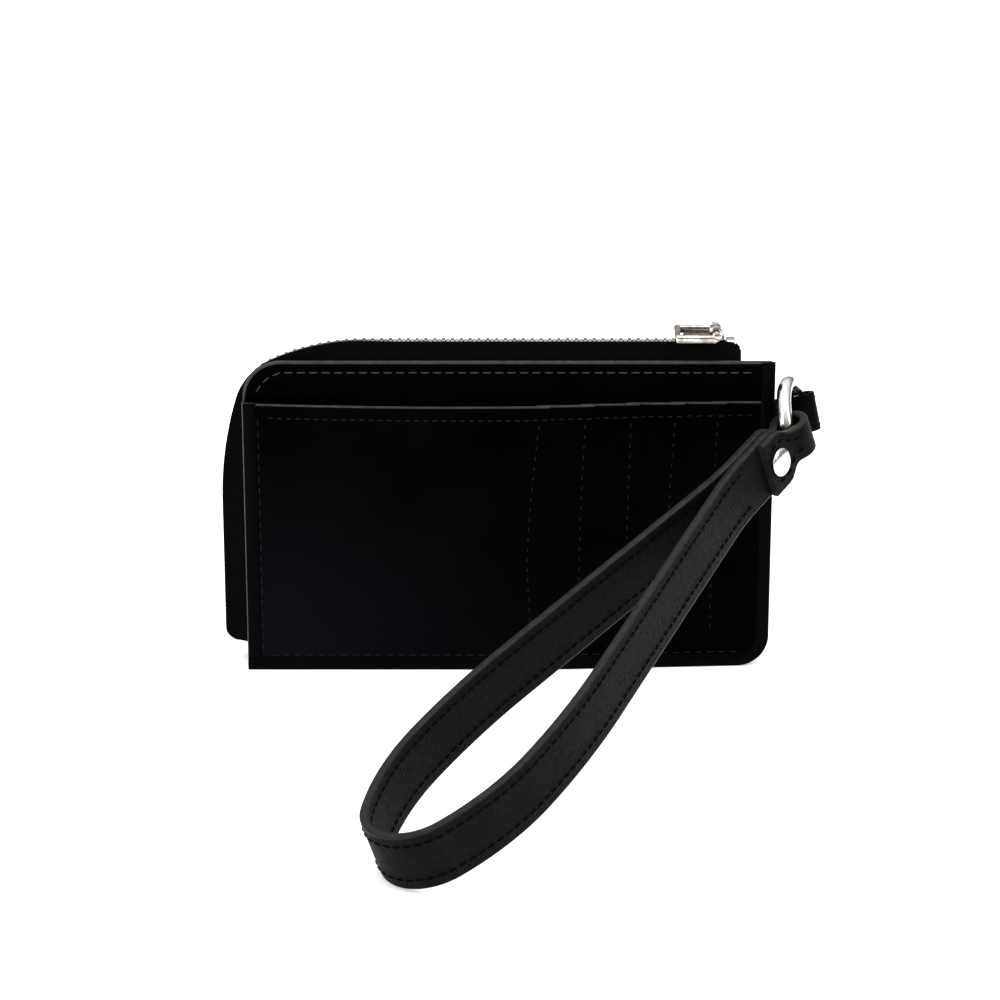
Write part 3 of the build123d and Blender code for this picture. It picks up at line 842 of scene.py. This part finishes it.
def makeTapes():
    look = {"low": 5.6, "inner": -8.2, "endTaper": 3.0, "rolledUntil": 96.0, "rolledFade": 14.0}
    look["lift"] = {"front": 0.1, "back": -0.75}
    look["cornerLift"] = {"front": 0.42, "back": -0.6}
    # outward distance and distance in front of the chain, round the tape's section; the
    # front tape's rolled edge stands up and hides the teeth's feet, most of all round the corner
    profile = [(look["inner"], 3.72), (-4.6, 3.72), (-3.7, 3.55), (-2.4, 3.12), (-1.2, 2.72), (-0.2, 2.5)]
    profile += [(0.35, 2.45), (0.7, 2.2), (0.62, 1.9), (0.2, 1.86), (-0.5, 2.1)]
    profile += [(-1.6, 2.4), (-2.8, 2.78), (-4.0, 3.2), (-4.8, 3.28), (look["inner"], 3.28)]
    across = [0.0]
    for first, second in zip(profile, profile[1:]):
        across.append(across[-1] + (Vector(second) - Vector(first)).length)
    for side, sign in (("front", -1), ("back", 1)):
        points = []
        uvs = []
        places = chainPlaces(look["low"], chain["end"], 1.0)
        total = places[-1][0]
        for distance, origin, outward in places:
            # the ends of the tape taper in towards the panel
            fromEnd = min(distance, total - distance)
            pinch = 1 - 0.4 * max(0.0, 1 - fromEnd / look["endTaper"]) ** 2
            topRun = min(max((distance - look["rolledUntil"]) / look["rolledFade"], 0.0), 1.0)
            lift = look["lift"][side] * topRun + look["cornerLift"][side] * (1 - topRun)
            for index, (reach, front) in enumerate(profile):
                reach += lift * min(max((reach + 2.4) / 2.4, 0.0), 1.0)
                reach = -4.6 + (reach + 4.6) * pinch if reach > -4.6 else reach
                points.append((origin + outward * reach + Vector((0, sign * front, 0))) * mm)
                uvs.append((distance, across[index]))
        faces = tubeFaces(len(places), len(profile))
        addPiece(
            f"{side}ZipTape", points, faces, [tapeCloth], "wallet", [f"zip_tape_{side}"],
            uvs=uvs, sharp=70,
        )


def makeTeeth():
    # each tooth is a clamped body, a wider head that meshes, and a small nib on the head
    look = {"headReach": 0.72, "back": 2.0, "low": -0.9, "high": 0.56, "bodyHalf": 0.44, "headHalf": 0.5}
    look.update({"nibHalf": 0.22, "bodyRound": 0.16, "headRound": 0.22, "nibRound": 0.1})
    high, wide = look["high"], look["bodyHalf"]
    body = roundedBlock((look["low"], -look["back"], -wide), (high - 0.08, -0.55, wide), look["bodyRound"])
    wide = look["headHalf"]
    head = roundedBlock((look["low"] + 0.1, -0.75, -wide), (high, look["headReach"], wide), look["headRound"])
    wide = look["nibHalf"]
    nib = roundedBlock((high - 0.2, -0.1, -wide), (high + 0.1, 0.42, wide), look["nibRound"], 2)
    tooth = joined([body, head, nib])
    total = chainLength(chain["low"], chain["lastTooth"])
    count = int(total / chain["pitch"])
    for side, sign, shift in (("front", 1, 0.5), ("back", -1, 1.0)):
        shapes = []
        for index in range(count):
            origin, outward = chainAt((index + shift) * chain["pitch"], chain["low"])
            along = Vector((outward.z, 0, -outward.x))
            points = [
                origin + outward * point.x + Vector((0, sign * point.y, 0)) + along * point.z
                for point in tooth[0]
            ]
            shapes.append((points, tooth[1]))
        metalPiece(f"{side}ZipTeeth", shapes, toothNickel, "wallet", f"zip_teeth_{side}")


def makeStops():
    # a soft block clipped over the tapes, with a narrower grip pressed round it
    look = {"halfHeight": 0.85, "halfDepth": 1.95, "gripHalfHeight": 0.6, "topLeft": 53.85, "topRight": 56.25}
    high = chainTop
    deep = look["halfDepth"]
    low, upper = (high - look["halfHeight"], high + look["halfHeight"])
    block = roundedBlock((look["topLeft"], -deep, low), (look["topRight"], deep, upper), 0.4)
    low, upper = (high - look["gripHalfHeight"], high + look["gripHalfHeight"])
    grip = roundedBlock((look["topLeft"] + 0.55, -2.2, low), (look["topRight"] - 0.55, 2.2, upper), 0.25)
    metalPiece("topStop", [block, grip], nickel, "wallet", "zip_top_stop")
    left, right = (chain["left"] - look["halfHeight"], chain["left"] + look["halfHeight"])
    block = roundedBlock((left, -deep, 5.7), (right, deep, 7.4), 0.4)
    grip = roundedBlock((left + 0.15, -2.15, 6.1), (right - 0.15, 2.15, 7.0), 0.25)
    metalPiece("bottomStop", [block, grip], nickel, "wallet", "zip_bottom_stop")


sliderSize = {
    "left": 43.2,
    "right": 53.5,
    "halfWidth": 3.2,
    "plate": 0.8,
    "clearance": 0.2,
    "toothHeight": 0.9,
    "flangeInset": 2.3,
    "flangeDrop": 0.68,
    "flangeInner": 2.42,
    "flangeOuter": 3.14,
    "lowerHalf": 1.75,
    "lowerPlate": 0.85,
    "neckLeft": 52.45,
    "neckHalf": 0.58,
}
plateLow = chainTop + sliderSize["toothHeight"] + sliderSize["clearance"]
plateHigh = plateLow + sliderSize["plate"]


def makeSlider():
    # the plate is waisted in plan and rounded all round
    size = sliderSize
    outline = []
    length = size["right"] - size["left"]
    steps = 48
    squareness = 0.4
    for index in range(steps):
        turn = 2 * pi * index / steps
        x = abs(cos(turn)) ** squareness * (1 if cos(turn) >= 0 else -1)
        y = abs(sin(turn)) ** (squareness * 1.2) * (1 if sin(turn) >= 0 else -1)
        narrow = 1 - 0.1 * (0.5 - 0.5 * x)
        outline.append((size["left"] + length * (x + 1) / 2, y * size["halfWidth"] * narrow))
    points = []
    profile = [(0.9, 1.0), (0.4, 1.0), (0.12, 0.86), (0.0, 0.6), (0.0, 0.2), (0.2, 0.0), (0.9, 0.0)]
    for inset, level in profile:
        for x, y in insetLoop(outline, inset):
            points.append(Vector((x, y, plateLow + size["plate"] * level)))
    shapes = [(points, tubeFaces(len(profile), len(outline)))]
    for sign in (-1, 1):
        inner, outer = sorted((sign * size["flangeInner"], sign * size["flangeOuter"]))
        near = (size["left"] + size["flangeInset"], inner, plateLow - size["flangeDrop"])
        far = (size["right"] - size["flangeInset"], outer, plateLow + 0.3)
        shapes.append(roundedBlock(near, far, 0.22))
    lowerHigh = chainTop - size["toothHeight"] - 2 * size["clearance"]
    wide = size["lowerHalf"]
    near = (size["left"] + 1.1, -wide, lowerHigh - size["lowerPlate"])
    shapes.append(roundedBlock(near, (size["right"] - 0.1, wide, lowerHigh), 0.3))
    wide = size["neckHalf"]
    near = (size["neckLeft"], -wide, lowerHigh - 0.3)
    shapes.append(roundedBlock(near, (size["neckLeft"] + 0.8, wide, plateLow + 0.3), 0.2))
    metalPiece("sliderShell", shapes, shadedNickel, "slider", "slider_body")


def makeBail():
    # an arch with a round eye, its outer line a half circle on two feet
    look = {"half": 1.56, "outer": 1.72, "eye": 0.84, "soft": 0.25}
    place = jointPlaces["pull_hinge"] / mm
    foot = plateHigh - 0.05 - place.z
    steps = 36
    outer = []
    inner = []
    for index in range(steps):
        turn = 2 * pi * index / steps
        x = cos(turn) * look["outer"]
        z = sin(turn) * look["outer"]
        if z < 0:
            x = look["outer"] * (1 if cos(turn) >= 0 else -1) * min(1.0, abs(cos(turn)) * 1.6)
            z = max(z, foot)
        outer.append((x, z))
        inner.append((cos(turn) * look["eye"], max(sin(turn) * look["eye"], foot + 0.02)))
    stations = [(inner, -1, 0), (inner, -1, 1), (outer, -1, 1), (outer, -1, 0)]
    stations += [(outer, 1, 0), (outer, 1, 1), (inner, 1, 1), (inner, 1, 0)]
    rings = []
    for loop, offset, soft in stations:
        ring = []
        for x, z in loop:
            size = Vector((x, z)).length
            shrink = look["soft"] if soft else 0.0
            scale = (size - shrink) / size if loop is outer else (size + shrink * 0.4) / size
            depth = look["half"] - (0.0 if soft else look["soft"] * 0.8)
            ring.append(Vector((place.x + x * scale, place.y + offset * depth, place.z + z * scale)))
        rings.append(ring)
    points = [point for ring in rings for point in ring]
    metalPiece("bail", [(points, loopFaces(len(rings), steps))], pullNickel, "slider", "slider_bail")


def makePull():
    # a picture frame of soft-edged bar, with knobs and a pin at its right end
    look = {"left": 41.05, "half": 5.05, "bar": 1.42, "height": 1.98, "soft": 0.4, "corner": 0.9, "hole": 0.45}
    pivot = jointPlaces["pull_hinge"] / mm
    right = pivot.x + 0.4
    low = plateLow - 0.08
    outer = []
    inner = []
    corners = [(look["left"], -look["half"], 180, 1, 1), (right, -look["half"], 270, -1, 1)]
    corners += [(right, look["half"], 0, -1, -1), (look["left"], look["half"], 90, 1, -1)]
    for x, y, start, inX, inY in corners:
        radius = look["corner"]
        outer += arc((x + inX * radius, y + inY * radius), radius, start, start + 90, 8)
        radius = look["hole"]
        centre = (x + inX * (look["bar"] + radius), y + inY * (look["bar"] + radius))
        inner += arc(centre, radius, start, start + 90, 8)
    soft = look["soft"]
    rings = []
    for loop, level, inset in (
        (outer, 0.0, soft), (outer, 0.12, soft * 0.3), (outer, 0.25, 0.0), (outer, 0.75, 0.0),
        (outer, 0.88, soft * 0.3), (outer, 1.0, soft), (inner, 1.0, -0.25), (inner, 0.88, 0.0),
        (inner, 0.12, 0.0), (inner, 0.0, -0.25),
    ):
        height = low + look["height"] * level
        rings.append([Vector((x, y, height)) for x, y in insetLoop(loop, inset)])
    # the frame's right bar is cut away, and the pin and knobs take its place
    points = [point for ring in rings for point in ring]
    faces = loopFaces(len(rings), len(outer))
    keep = lambda face: all(
        points[index].x < pivot.x - 0.2 or abs(points[index].y) > look["half"] - look["bar"] for index in face
    )
    shapes = [(points, [face for face in faces if keep(face)])]
    axis = Vector((0, 1, 0))
    pin = [(0.1, -3.9), (0.72, -3.9), (0.74, -3.8), (0.74, 3.8), (0.72, 3.9), (0.1, 3.9)]
    shapes.append(lathe(pivot, axis, pin, 28))
    for sign in (-1, 1):
        knob = [(0.05, 3.6), (0.85, 3.62), (1.2, 3.9), (1.24, 4.3), (1.2, 4.75), (0.85, 5.02), (0.05, 5.06)]
        shapes.append(lathe(pivot, axis * sign, knob, 32))
    metalPiece("pullLoop", shapes, pullNickel, "pull", "zip_pull", 45)


makeTapes()
makeTeeth()
makeStops()
makeSlider()
makeBail()
makePull()
print("zip made")


# ring, tab and strap

lean = jointAxes["strap_hinge"]
hold = jointPlaces["strap_hinge"] / mm
ringPivot = jointPlaces["ring_hinge"] / mm
runGuess = Vector((-0.573, -0.746, -0.339))
run = (runGuess - lean * runGuess.dot(lean)).normalized()
side = lean.cross(run)
ringUp = jointAxes["ring_hinge"]
pivotToHold = hold - ringPivot
ringOut = (pivotToHold - ringUp * pivotToHold.dot(ringUp)).normalized()


def makeRing():
    look = {"radius": 9.0, "wire": 1.82, "around": 128, "sides": 36}
    centre = ringPivot + ringOut * look["radius"]
    normal = ringUp.cross(ringOut).normalized()
    section = arc((0, 0), look["wire"], 0, 360, look["sides"])[:-1]
    points = []
    for index in range(look["around"]):
        turn = 2 * pi * index / look["around"]
        outward = ringOut * cos(turn) + ringUp * sin(turn)
        middle = centre + outward * look["radius"]
        points += [middle + outward * a + normal * b for a, b in section]
    shape = (points, loopFaces(look["around"], look["sides"]))
    metalPiece("ringLoop", [shape], nickel, "ring", "ring", 180)


def turtle(start, heading, moves, longest, finest):
    # (point, direction, distance) along straight runs and arcs; a positive turn is to the left
    here = Vector(start)
    angle = heading
    distance = 0.0
    found = [(here.copy(), angle, distance)]
    for move in moves:
        if move[0] == "run":
            parts = max(int(move[1] / longest), 1)
            step = Vector((cos(radians(angle)), sin(radians(angle)))) * (move[1] / parts)
            for part in range(parts):
                here = here + step
                distance += step.length
                found.append((here.copy(), angle, distance))
            continue
        turn, radius = move[1:]
        parts = max(int(abs(turn) / finest), int(abs(radians(turn)) * radius / longest), 2)
        sign = 1 if turn > 0 else -1
        left = Vector((-sin(radians(angle)), cos(radians(angle))))
        centre = here + left * (sign * radius)
        for part in range(1, parts + 1):
            now = angle + turn * part / parts
            left = Vector((-sin(radians(now)), cos(radians(now))))
            distance += abs(radians(turn)) * radius / parts
            found.append((centre - left * (sign * radius), now, distance))
        angle += turn
        here = centre - left * (sign * radius)
    return found


def stripProfile(halfWidth, halfThickness, soft):
    # across the width and through the thickness, counterclockwise, with rounded edges
    points = []
    for sideX, sideY, start in ((1, -1, -90), (1, 1, 0), (-1, 1, 90), (-1, -1, 180)):
        centre = (sideX * (halfWidth - soft), sideY * (halfThickness - soft))
        points += arc(centre, soft, start, start + 90, 4)
    return points


def stripFrame(axes, spot):
    # the middle of a strip at this spot of its path, and the direction out of its left face
    origin, runAxis, sideAxis = axes[:3]
    point, angle = spot[:2]
    out = runAxis * -sin(radians(angle)) + sideAxis * cos(radians(angle))
    return origin + runAxis * point.x + sideAxis * point.y, out


def makeStrip(name, axes, places, widthAt, thickness, soft, materials, body, replaced):
    # sweeps a soft-edged strip; the second material is the painted edge
    points = []
    for spot in places:
        centre, left = stripFrame(axes, spot)
        profile = stripProfile(widthAt(spot[2]) / 2, thickness / 2, soft)
        points += [(centre + axes[3] * across + left * through) * mm for across, through in profile]
    count = len(profile)
    plain = (count // 2 - 1, count - 1)
    marks = [0 if index in plain else 1 for index in range(count)] * (len(places) - 1) + [1, 1]
    faces = tubeFaces(len(places), count)
    return addPiece(name, points, faces, materials, body, replaced, marks, sharp=60)


def stripStitches(axes, spots, acrossAt, lift, pitch):
    # evenly spaced stitches along a face of a strip; lift is to its left, or less than 0 to its right
    line = []
    for spot in spots:
        centre, left = stripFrame(axes, spot)
        centre += axes[3] * acrossAt(spot[2])
        line.append((centre + left * lift, left if lift > 0 else -left))
    found = []
    for place, along in evenly([spot[0] for spot in line], pitch):
        nearest = min(line, key=lambda spot: (spot[0] - place).length)
        found.append((place, along, nearest[1]))
    return found


def makeTab():
    look = {"thickness": 1.0, "height": 9.6, "inner": 3.1, "bend": 4.0, "shift": 0.62, "root": 63.9}
    look.update({"stitchInset": 1.3, "stitchPitch": 2.2})
    fold = ringPivot + ringOut * look["shift"]
    toward = Vector((look["root"], 0, fold.z)) - fold
    toward = toward - ringUp * toward.dot(ringUp)
    length = toward.length
    forward = toward.normalized()
    sideways = ringUp.cross(forward)
    gap = look["thickness"] / 2 + 0.05
    wrap = look["inner"] + look["thickness"] / 2
    bend = degrees(acos((look["bend"] + gap) / (wrap + look["bend"])))
    straight = length - (wrap + look["bend"]) * sin(radians(bend))
    moves = [
        ("run", straight), ("turn", bend, look["bend"]), ("turn", -(180 + 2 * bend), wrap),
        ("turn", bend, look["bend"]), ("run", straight),
    ]
    places = turtle((length, -gap), 180, moves, 0.8, 5)
    # the cut root lies inside the side seam
    places = [spot for spot in places if spot[0].x < length - 0.4]
    axes = (fold, forward, sideways, ringUp)
    makeStrip(
        "sideTab", axes, places, lambda distance: look["height"], look["thickness"], 0.28,
        [tabLeather, tabLeather], "wallet", ["side_tab"],
    )
    rows = []
    reach = look["height"] / 2 - look["stitchInset"]
    for across in (-reach, reach):
        rows += stripStitches(
            axes, places[2:-2], lambda distance: across, look["thickness"] / 2, look["stitchPitch"]
        )
    stitchRow("tabStitches", rows, {"length": 1.5, "radius": 0.15}, "wallet", blackThread)


strapLook = {
    "width": 15.0,
    "thickness": 2.06,
    "gap": 0.1,
    "halfAngle": 10.1,
    "strand": 68.0,
    "spread": 80.0,
    "bow": 180.0,
    "shoulder": 61.0,
    "shoulderAngle": 26.0,
    "stack": 13.2,
    "flap": 8.8,
    "slack": 1.4,
    "foldInner": 2.8,
    "foldBend": 8.0,
    "waist": 9.0,
    "waistFrom": 2.0,
    "waistTo": 7.5,
    "softEdge": 0.5,
    "rivet": 9.3,
    "stitchInset": 2.7,
    "stitchPitch": 2.6,
}


def strapRoute():
    look = strapLook
    half = look["thickness"] / 2
    layer = half + look["gap"]
    wrap = look["foldInner"] + half
    halfGap = (look["thickness"] + look["gap"]) / 2 + half + look["gap"] / 2
    bend = degrees(acos((look["foldBend"] + halfGap) / (wrap + look["foldBend"])))
    bendLength = (wrap + look["foldBend"]) * sin(radians(bend))
    opening = radians(look["halfAngle"])
    widest = layer + (look["spread"] + look["bow"]) * (1 - cos(opening)) + look["strand"] * sin(opening)
    shoulder = radians(look["shoulderAngle"])
    endRadius = (widest - look["shoulder"] * (1 - cos(shoulder))) / cos(shoulder)
    stackStart = bendLength - look["slack"] + 0.3
    moves = [
        ("run", look["stack"]),
        ("turn", look["halfAngle"], look["spread"]),
        ("run", look["strand"]),
        ("turn", -look["halfAngle"], look["bow"]),
        ("turn", -look["shoulderAngle"], look["shoulder"]),
        ("turn", -(180 - 2 * look["shoulderAngle"]), endRadius),
        ("turn", -look["shoulderAngle"], look["shoulder"]),
        ("turn", -look["halfAngle"], look["bow"]),
        ("run", look["strand"]),
        ("turn", look["halfAngle"], look["spread"]),
        ("run", look["stack"] + 0.3),
        ("turn", bend, look["foldBend"]),
        ("turn", -(180 + 2 * bend), wrap),
        ("turn", bend, look["foldBend"]),
        ("run", look["flap"]),
    ]
    return (stackStart, layer), moves, -layer + halfGap


def makeStrap():
    look = strapLook
    start, moves, wrapY = strapRoute()
    places = turtle(start, 0, moves, 1.6, 6)
    axes = (hold - side * wrapY, run, side, lean)

    def widthAt(distance):
        point = min(places, key=lambda spot: abs(spot[2] - distance))[0]
        share = (point.x - look["waistFrom"]) / (look["waistTo"] - look["waistFrom"])
        share = min(max(share, 0.0), 1.0)
        share = share * share * (3 - 2 * share)
        return look["waist"] + (look["width"] - look["waist"]) * share

    makeStrip(
        "strapStrip", axes, places, widthAt, look["thickness"], look["softEdge"],
        [strapLeather, strapPaint], "strap", ["strap_outer_ply", "strap_inner_ply"],
    )
    # two rows of stitches on each face, left out where the layers lie against each other
    total = places[-1][2]
    size = {"length": 2.15, "radius": 0.25}
    for faceName, faceSign in (("outer", 1), ("inner", -1)):
        spots = [spot for spot in places if 16 < spot[2] < total - 1.5]
        if faceSign < 0:
            spots = [spot for spot in spots if spot[0].x > 17]
        else:
            spots = [spot for spot in spots if spot[0].x > 9 or spot[2] > total - 14]
        groups = []
        for spot in spots:
            if not groups or spot[2] - groups[-1][-1][2] > 4:
                groups.append([])
            groups[-1].append(spot)
        rows = []
        for across in (-1, 1):
            acrossAt = lambda distance: across * (widthAt(distance) / 2 - look["stitchInset"])
            for group in groups:
                if len(group) >= 3:
                    lift = faceSign * look["thickness"] / 2
                    rows += stripStitches(axes, group, acrossAt, lift, look["stitchPitch"])
        stitchRow(f"{faceName}StrapStitches", rows, size, "strap", blackThread)


def makeRivet():
    look = {"capRadius": 3.55, "capHeight": 1.08, "backRadius": 3.15}
    wrapY = strapRoute()[2]
    origin = hold - side * wrapY + run * strapLook["rivet"]
    thick = strapLook["thickness"]
    seat = 2 * thick + 2.5 * strapLook["gap"] + 0.02
    steps = 10
    dome = [(look["capRadius"] - 0.35, seat), (look["capRadius"], seat + 0.25)]
    for step in range(steps):
        turn = pi / 2 * step / steps
        dome.append((look["capRadius"] * cos(turn), seat + 0.3 + (look["capHeight"] - 0.3) * sin(turn)))
    dome.append((0.12, seat + look["capHeight"]))
    metalPiece("rivetCap", [lathe(origin, side, dome)], nickel, "strap", "rivet_cap", 50)
    back = -(thick + strapLook["gap"])
    low = [(1.45, seat - 0.2), (1.45, back + 0.05), (look["backRadius"] - 0.2, back - 0.03)]
    low += [(look["backRadius"], back - 0.3), (look["backRadius"] - 0.5, back - 0.75), (1.3, back - 0.82)]
    low += [(0.9, back - 0.6), (0.1, back - 0.55)]
    metalPiece("rivetBack", [lathe(origin, side, low)], nickel, "strap", "rivet_post", 50)


makeRing()
makeTab()
makeStrap()
makeRivet()
print("strap made")


# floor, light and camera

studio = {
    "floorSize": 14.0,
    "distance": 900 * mm,
    "elevation": 20,
    "lookAt": Vector((-2.13, -5.0, 44.4)) * mm,
    "imageScale": 3.99,
    "skyTop": (1.0, 1.0, 1.0, 1),
    "skyLow": (0.09, 0.088, 0.085, 1),
    "skyStrength": 1.1,
}


def makeFloor():
    half = studio["floorSize"] / 2
    mesh = bpy.data.meshes.new("floor")
    corners = [(-half, -half, 0), (half, -half, 0), (half, half, 0), (-half, half, 0)]
    mesh.from_pydata(corners, [], [(0, 1, 2, 3)])
    mesh.materials.append(paleFloor())
    floor = bpy.data.objects.new("floor", mesh)
    floor.location.z = cadBox[0][2] - 0.05 * mm
    bpy.context.scene.collection.objects.link(floor)


def makeSky():
    world = bpy.data.worlds.new("studio")
    bpy.context.scene.world = world
    world.use_nodes = True
    tree = world.node_tree
    background = tree.nodes["Background"]
    coordinates = tree.nodes.new("ShaderNodeTexCoord")
    split = tree.nodes.new("ShaderNodeSeparateXYZ")
    ramp = tree.nodes.new("ShaderNodeValToRGB")
    ramp.color_ramp.elements[0].position = 0.05
    ramp.color_ramp.elements[0].color = studio["skyLow"]
    ramp.color_ramp.elements[1].position = 0.6
    ramp.color_ramp.elements[1].color = studio["skyTop"]
    tree.links.new(coordinates.outputs["Generated"], split.inputs[0])
    tree.links.new(split.outputs["Z"], ramp.inputs[0])
    tree.links.new(ramp.outputs[0], background.inputs[0])
    background.inputs[1].default_value = studio["skyStrength"]


def softBox(name, place, target, size, power):
    light = bpy.data.lights.new(name, "AREA")
    light.shape = "RECTANGLE"
    light.size, light.size_y = size
    light.energy = power
    lamp = bpy.data.objects.new(name, light)
    lamp.location = place
    lamp.rotation_euler = (Vector(target) - Vector(place)).to_track_quat("-Z", "Y").to_euler()
    bpy.context.scene.collection.objects.link(lamp)


def makeCamera():
    lens = bpy.data.cameras.new("camera")
    lens.sensor_width = 36
    lens.lens = studio["imageScale"] * studio["distance"] / mm * lens.sensor_width / 1000
    lens.clip_end = 50
    camera = bpy.data.objects.new("camera", lens)
    tilt = radians(studio["elevation"])
    camera.location = studio["lookAt"] + Vector((0, -cos(tilt), sin(tilt))) * studio["distance"]
    camera.rotation_euler = (pi / 2 - tilt, 0, 0)
    bpy.context.scene.collection.objects.link(camera)
    bpy.context.scene.camera = camera


makeFloor()
makeSky()
softBox("overhead", (0.1, -0.1, 1.3), (0, 0, 0), (1.6, 1.6), 16)
softBox("leftFill", (-1.0, -0.9, 0.5), (0, 0, 0.04), (0.7, 1.0), 7)
softBox("rightFill", (1.1, -0.5, 0.7), (0.05, 0, 0.05), (0.5, 0.8), 5)
makeCamera()
bpy.context.scene.view_settings.view_transform = "Standard"
print("studio made")
